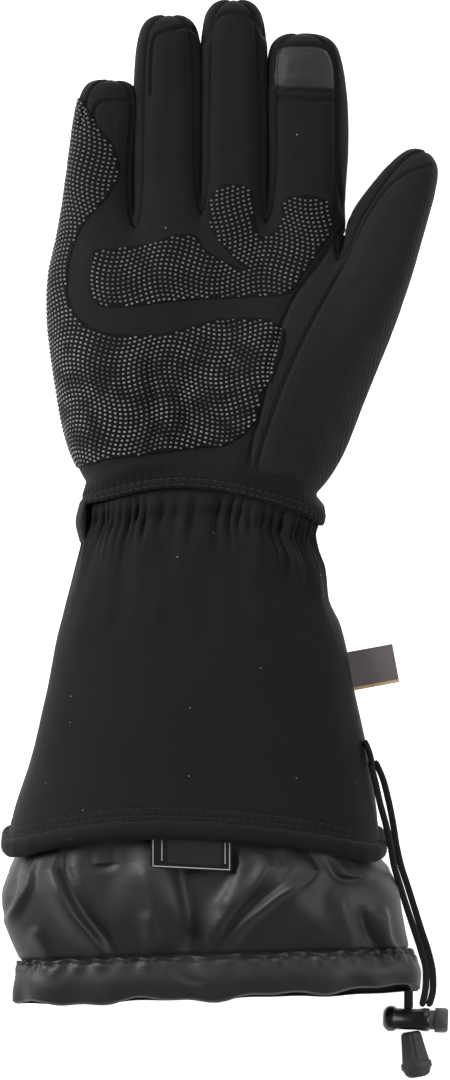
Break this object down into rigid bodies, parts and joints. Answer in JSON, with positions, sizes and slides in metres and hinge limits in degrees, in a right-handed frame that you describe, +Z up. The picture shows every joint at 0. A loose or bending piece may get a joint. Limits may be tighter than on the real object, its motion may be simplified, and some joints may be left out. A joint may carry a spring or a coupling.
{
  "type": "heated gauntlet glove",
  "caption": "Padded winter gauntlet glove with grip patches, touch fingertip, flared cuff, nylon snow skirt, free cord and barrel cord lock.",
  "frame": {"origin": "on the surface that the glove rests on, under the middle of the hand's hem band", "axes": "+Z up out of the palm, +Y along the glove from its skirt towards its fingers, +X towards the thumb"},
  "size_m": [0.1787, 0.4312, 0.0622],
  "materials": {
    "softshell": "matte woven softshell, near black",
    "twill": "matte diagonal twill, near black",
    "grip_print": "satin printed grip over black cloth",
    "touch_cloth": "smooth dark grey conductive cloth",
    "nylon": "thin nylon with a soft sheen",
    "webbing": "matte black webbing",
    "tag_cloth": "matte dark grey woven tag",
    "label_film": "thin dark film with a soft gloss",
    "braid": "matte black braid",
    "lock_plastic": "satin black moulded plastic",
    "button_plastic": "satin dark grey moulded plastic",
    "end_rubber": "matte black ribbed rubber"
  },
  "bodies": {
    "glove": {"palm_panel": "softshell", "back_panel": "softshell", "pinky_side_panel": "softshell", "thumb_panel": "twill", "thumb_back_panel": "softshell", "thumb_gusset": "softshell", "fourchette_pinky_ring": "softshell", "fourchette_ring_middle": "softshell", "fourchette_middle_index": "softshell", "heel_grip_patch": "grip_print", "finger_grip_patch": "grip_print", "touch_patch": "touch_cloth", "hand_hem_band": "softshell", "gauntlet_cuff": "softshell", "cuff_hem_roll": "softshell", "snow_skirt": "nylon", "skirt_casing": "nylon", "wrist_strap": "webbing", "side_tag": "tag_cloth", "care_label": "label_film", "cord_anchor": "webbing", "retainer_cord_inner": "braid", "retainer_cord_outer": "braid", "draw_cord_neck": "braid", "cord_lock_barrel": "lock_plastic", "cord_end": "end_rubber"},
    "lock_button": {"cord_lock_button": "button_plastic"}
  },
  "joints": [
    {"name": "lock_press", "type": "slide", "parent": "glove", "child": "lock_button", "axis": [-0.9994, 0.0349, 0], "range_m": [0, 0.0018], "stiffness_N_per_m": 600}
  ]
}
